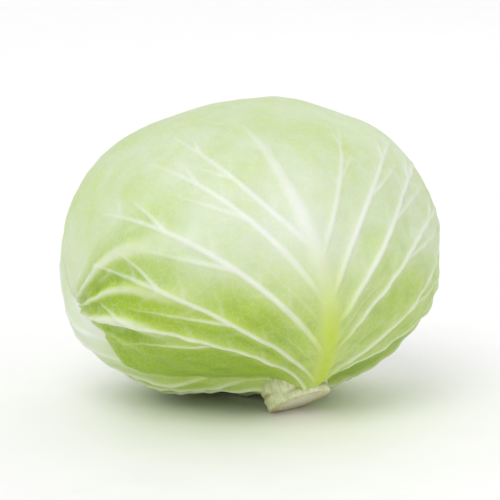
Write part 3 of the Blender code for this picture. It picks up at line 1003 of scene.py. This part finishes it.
def make_leaf(index, cells):
    """A finished wrapper leaf that replaces its solid."""
    leaf = LEAVES[index]
    outside, _, fields = leaf_points(index, cells)
    _, inside, inside_fields = leaf_points(index, cells // 2)
    fields = {key: np.concatenate([fields[key], inside_fields[key]]) for key in fields}
    name = leaf.node.replace("wrapper_leaf", "veined_leaf")
    mesh = shell_mesh(name, outside, inside, cells)
    for key, values in colour_fields(fields).items():
        store_field(mesh, key, values)
    store_field(mesh, "vein", fields["vein"])
    store_field(mesh, "twig", fields["twig"])
    apart = np.full(len(fields["x"]), LEAVES_APART * index)
    store_places(mesh, "leaf_place", np.stack([fields["x"], fields["y"], apart], axis=1) * DEGREE_MM)
    mesh.materials.append(wrapper_finish)
    piece = add_object(name, mesh)
    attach(piece, "root")
    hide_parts(leaf.node)
    return piece


leaf_pieces = []
for index in range(len(LEAVES)):
    piece = make_leaf(index, FINE_CELLS if index < SHOWING_LEAVES else COARSE_CELLS)
    leaf_pieces.append(piece)
    print(piece.name, len(piece.data.polygons), "faces,", round(signed_volume(piece.data) * 1e6, 1), "cm3")

# %% [markdown]
# ## The cut stalk
#
# Below the leaves the stalk is a thick stub, cut off square with a knife. Round it run the crescent scars of
# leaves that were pulled off, and its skin has long fibres. It is a turned profile whose radius also depends
# on the angle: radius(t, a) = profile(t) + scars + fibres. The cut face has a ring of browned strands round a
# paler pith, and the knife's faint lines.

# %% Stalk shape
CUT_RADIUS = 0.0150
CUT_BEVEL = 0.0010
STALK_PRESS = 0.0008
AROUND_STALK = 220
SCARS = 5
SCAR_STEP = math.radians(137.5)
SCAR_HALF_ANGLE = 0.95
LIP_HEIGHT, LIP_LONG = 0.0005, 0.0009
HOLLOW_DEPTH, HOLLOW_LONG, HOLLOW_ABOVE = 0.0004, 0.0011, 0.0018
COLLAR_HEIGHT, COLLAR_BELOW, COLLAR_LONG = 0.0015, 0.0010, 0.0045
FIBRE_HEIGHT, LOBE_HEIGHT = 0.00012, 0.0004
STRAND_RING_HEIGHT, STRAND_RING_AT, STRAND_RING_WIDE = 0.00022, 0.72, 0.07
PITH_SUNK, PITH_WIDE = 0.0004, 0.5
KNIFE_LINE_HEIGHT = 0.00006

cut_depth = (head_centre[2] + STALK_PRESS - (CUT_RADIUS - CUT_BEVEL) * math.sin(TILT)) / math.cos(TILT)


def scar_relief(angle, down):
    """Crescent scars round the stub: a raised lip with a hollow above it, one each turn of the leaves."""
    relief = np.zeros_like(angle)
    for number in range(SCARS):
        middle = number * SCAR_STEP + 0.6
        off = np.angle(np.exp(1j * (angle - middle)))
        line = BASE_DEPTH + 0.0045 + 0.0026 * number - 0.0016 * np.cos(1.3 * off)
        width = np.exp(-((off / SCAR_HALF_ANGLE) ** 4))
        relief += width * LIP_HEIGHT * np.exp(-(((down - line) / LIP_LONG) ** 2))
        relief -= width * HOLLOW_DEPTH * np.exp(-(((down - line + HOLLOW_ABOVE) / HOLLOW_LONG) ** 2))
    return relief


def stalk_points(rows_side=110, rows_cut=42):
    """Points of the turned stub, rows by angles, from its tip to its cut face, in the head's frame."""
    angle = np.linspace(0.0, 2 * math.pi, AROUND_STALK, endpoint=False)[None, :]
    down = np.linspace(STALK_TIP_BELOW_CENTRE + 0.004, cut_depth - CUT_BEVEL, rows_side)[:, None]
    flare = np.clip((down - BASE_DEPTH) / (cut_depth - BASE_DEPTH), 0.0, 1.0)
    radius = stalk_radius(-down) + (CUT_RADIUS - STALK_BASE_RADIUS) * flare
    collar = COLLAR_HEIGHT * np.exp(-(((down - BASE_DEPTH - COLLAR_BELOW) / COLLAR_LONG) ** 2))
    fibres = FIBRE_HEIGHT * np.sin(41 * angle + 3 * np.sin(5 * angle))
    fibres = fibres + LOBE_HEIGHT * np.sin(3 * angle + 0.7)
    shown = ease((down - BASE_DEPTH + 0.010) / 0.006)
    radius = radius + collar + (fibres + scar_relief(angle + 0 * down, down + 0 * angle)) * shown
    rim = np.linspace(0.0, math.pi / 2, 7)[1:, None]
    rim_radius = radius[-1:] - CUT_BEVEL * (1 - np.cos(rim))
    rim_down = cut_depth - CUT_BEVEL + CUT_BEVEL * np.sin(rim) + 0 * angle
    share = np.linspace(1.0, 0.0, rows_cut)[1:-1, None]
    face_radius = rim_radius[-1:] * share
    ring = STRAND_RING_HEIGHT * np.exp(-(((share - STRAND_RING_AT) / STRAND_RING_WIDE) ** 2))
    ring = ring - PITH_SUNK * np.exp(-((share / PITH_WIDE) ** 2))
    across = face_radius * np.cos(angle)
    knife = KNIFE_LINE_HEIGHT * np.sin(across * 2600 + 1.5 * np.sin(angle)) * ease(4 * (1 - share))
    face_down = cut_depth + ring + knife
    tops = np.concatenate([radius, rim_radius, face_radius])
    downs = np.concatenate([down + 0 * angle, rim_down, face_down])
    return np.stack([tops * np.cos(angle), tops * np.sin(angle), -downs], axis=-1), len(face_radius)


def turned_quads(rows, around):
    """Quads between rows of points that close round the axis, with their fronts outwards."""
    number = np.arange(rows * around).reshape(rows, around)
    beside = np.roll(number, -1, axis=1)
    return np.stack([number[:-1], number[1:], beside[1:], beside[:-1]], axis=-1).reshape(-1, 4)


rows, face_rows = stalk_points()
print("stub below the leaves, in mm:", round((cut_depth - BASE_DEPTH) * 1000, 1))

# %% Stalk finish
STALK_GREEN = chart(200, 211, 150)
STALK_PALE = chart(234, 234, 206)
CUT_CREAM = chart(226, 222, 186)
CUT_PITH = chart(236, 236, 212)
CUT_BROWN = chart(178, 148, 96)
SCAR_BROWN = chart(170, 150, 96)
FIBRES_PER_MM = 0.9
FIBRE_STRETCH = 7.0
STRANDS_PER_METRE = 620.0

stalk_look = Finish("fibrous_stalk")
place = stalk_look.place()
cloud = stalk_look.noise(place, 90.0, 4.0, 0.6)
grit = stalk_look.noise(place, 700.0, 3.0, 0.6)
from_pith = stalk_look.field("from_pith")
fibre = stalk_look.noise(stalk_look.field("fibre_place", "Vector"), FIBRES_PER_MM, 4.0, 0.65)
skin = stalk_look.mix(stalk_look.fit(fibre, 0.36, 0.62), STALK_GREEN, STALK_PALE)
skin = stalk_look.mix(stalk_look.fit(cloud, 0.55, 0.75, 0.0, 0.35), skin, SCAR_BROWN)
skin = stalk_look.mix(stalk_look.fit(stalk_look.field("scarred"), 0.15, 1.0, 0.0, 0.75), skin, SCAR_BROWN)
cut = stalk_look.mix(stalk_look.fit(from_pith, 0.25, 0.7), CUT_PITH, CUT_CREAM)
outer, clouded = stalk_look.fit(from_pith, 0.55, 1.0), stalk_look.fit(cloud, 0.35, 0.65)
dried = stalk_look.maths("MULTIPLY", outer, clouded)
cut = stalk_look.mix(stalk_look.maths("MULTIPLY", dried, 0.7), cut, CUT_BROWN)
strand = stalk_look.fit(stalk_look.cells(place, STRANDS_PER_METRE), 0.12, 0.30, 1.0, 0.0)
in_ring = stalk_look.fit(from_pith, 0.42, 0.62)
cut = stalk_look.mix(stalk_look.maths("MULTIPLY", strand, in_ring), cut, CUT_BROWN)
cut = stalk_look.mix(stalk_look.fit(grit, 0.62, 0.78, 0.0, 0.5), cut, CUT_BROWN)
along_fibres = stalk_look.bump(fibre, 0.0005, 0.9)
stalk_look.surface({
    "Base Color": stalk_look.mix(stalk_look.field("on_cut"), skin, cut),
    "Roughness": stalk_look.fit(cloud, 0.3, 0.7, 0.55, 0.75),
    "Normal": stalk_look.bump(grit, 0.00018, 0.8, before=along_fibres),
    "Subsurface Weight": 0.15,
    "Subsurface Scale": 0.003,
})
print("finish:", stalk_look.material.name)

# %% Stalk piece
SCARRED_FULLY = 0.0003

around = rows.shape[1]
top_cap = rows[:1].mean(axis=1) + np.array([[0.0, 0.0, 0.003]])
face_cap = rows[-1:].mean(axis=1)
turned_points = np.concatenate([rows.reshape(-1, 3), top_cap, face_cap])
stub_points = set_down(turned_points)
stub_points[:, 2] = np.maximum(stub_points[:, 2], PRESSED_CLEAR)
first = np.arange(around)
last = first + (len(rows) - 1) * around
top_fan = [(int(a), int(b), len(rows) * around) for a, b in zip(first, np.roll(first, -1))]
face_fan = [(int(b), int(a), len(rows) * around + 1) for a, b in zip(last, np.roll(last, -1))]
stub_faces = turned_quads(len(rows), around).tolist() + top_fan + face_fan
stub_mesh = mesh_from_arrays("scarred_stalk", stub_points, stub_faces)
on_face = (np.repeat(np.arange(len(rows)), around) >= len(rows) - face_rows).astype(float)
pith = np.hypot(rows[..., 0], rows[..., 1]).ravel() / CUT_RADIUS
angles = np.tile(np.linspace(0.0, 2 * math.pi, around, endpoint=False), len(rows))
scars = held(-scar_relief(angles, -rows[..., 2].ravel()) / SCARRED_FULLY)
store_field(stub_mesh, "on_cut", np.append(on_face, [0.0, 1.0]))
store_field(stub_mesh, "from_pith", np.append(pith, [0.0, 0.0]))
store_field(stub_mesh, "scarred", np.append(scars, [0.0, 0.0]))
store_places(stub_mesh, "fibre_place", turned_points * (1000.0, 1000.0, 1000.0 / FIBRE_STRETCH))
stub_mesh.materials.append(stalk_look.material)
stub = add_object("scarred_stalk", stub_mesh)
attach(stub, "root")
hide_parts("cut_stalk")
print(stub.name, "volume", round(signed_volume(stub_mesh) * 1e6, 2), "cm3")

# %% [markdown]
# ## The heart
#
# The inner leaves and the bud are sealed inside. Their solids have the right shape, so they stay, and get
# the finish of young leaves: cream, yellower towards their margins, moist and finely veined.

# %% Heart finish
HEART_CREAM = chart(232, 233, 190)
HEART_YELLOW = chart(214, 221, 140)
HEART_VEIN = chart(244, 243, 222)
HEART_NET_PER_METRE = 160.0

heart_finish = Finish("young_leaf")
place = heart_finish.place()
cloud = heart_finish.noise(place, 60.0, 4.0, 0.55)
to_edge = heart_finish.cells(place, HEART_NET_PER_METRE, feature="DISTANCE_TO_EDGE")
net_line = heart_finish.fit(to_edge, 0.0, 0.1, 1.0, 0.0)
young = heart_finish.mix(heart_finish.fit(cloud, 0.3, 0.7), HEART_CREAM, HEART_YELLOW)
young = heart_finish.mix(heart_finish.maths("MULTIPLY", net_line, 0.3), young, HEART_VEIN)
heart_finish.surface({
    "Base Color": young,
    "Roughness": heart_finish.fit(cloud, 0.3, 0.7, 0.42, 0.55),
    "Normal": heart_finish.bump(net_line, 0.0002, 0.6),
    "Subsurface Weight": 0.2,
    "Subsurface Scale": 0.002,
})

heart = [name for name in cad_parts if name.startswith("inner_leaf") or name == "terminal_bud"]
for name in heart:
    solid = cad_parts[name]
    solid.data.materials.clear()
    solid.data.materials.append(heart_finish.material)
print("heart:", len(heart), "solids keep their shape")
